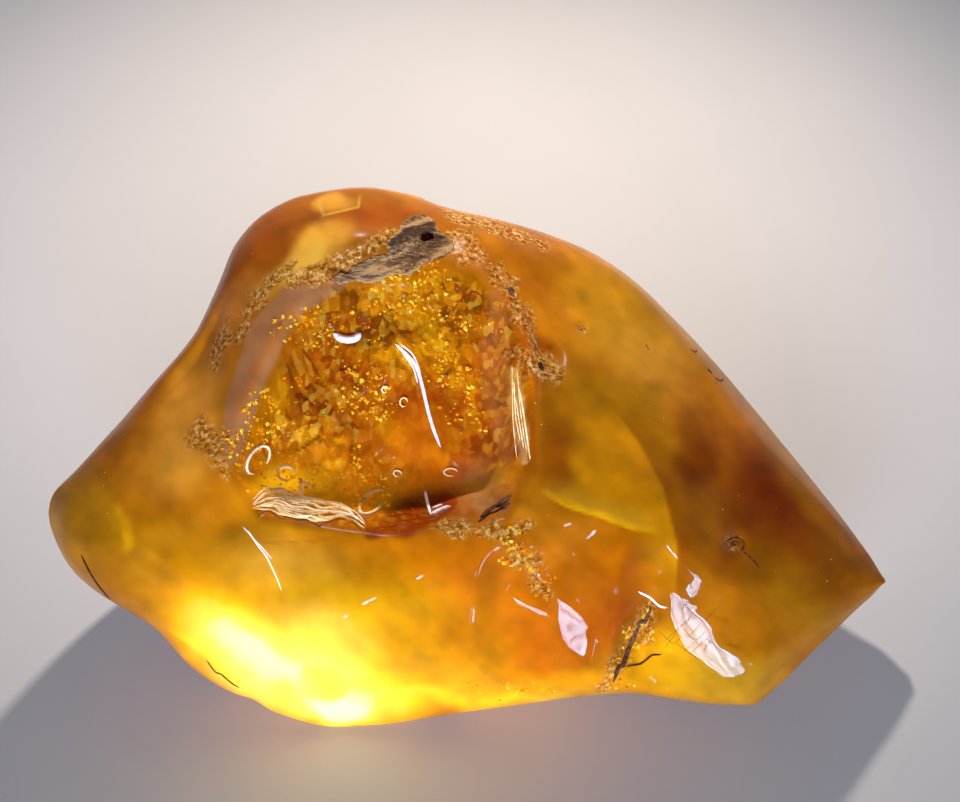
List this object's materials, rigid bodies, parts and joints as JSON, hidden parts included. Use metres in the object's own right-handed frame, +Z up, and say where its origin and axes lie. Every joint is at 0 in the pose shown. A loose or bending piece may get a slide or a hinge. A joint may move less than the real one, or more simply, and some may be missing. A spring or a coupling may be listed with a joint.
{
  "type": "raw amber piece",
  "caption": "Polished lump of natural amber with a rounded lobe, a tapering arm and a crackled hollow in its broad face; rests on a small flat.",
  "frame": {"origin": "on the surface that the lump rests on, under the middle of its box", "axes": "+X along the length towards the sharp tip, -Y out of the broad face with the hollow, +Z up"},
  "size_m": [0.11, 0.0638, 0.0564],
  "materials": {
    "amber": "hand-polished see-through resin, honey to cognac brown, cloudy yellow at the lower left"
  },
  "bodies": {
    "root": {"amber": "amber"}
  },
  "joints": []
}
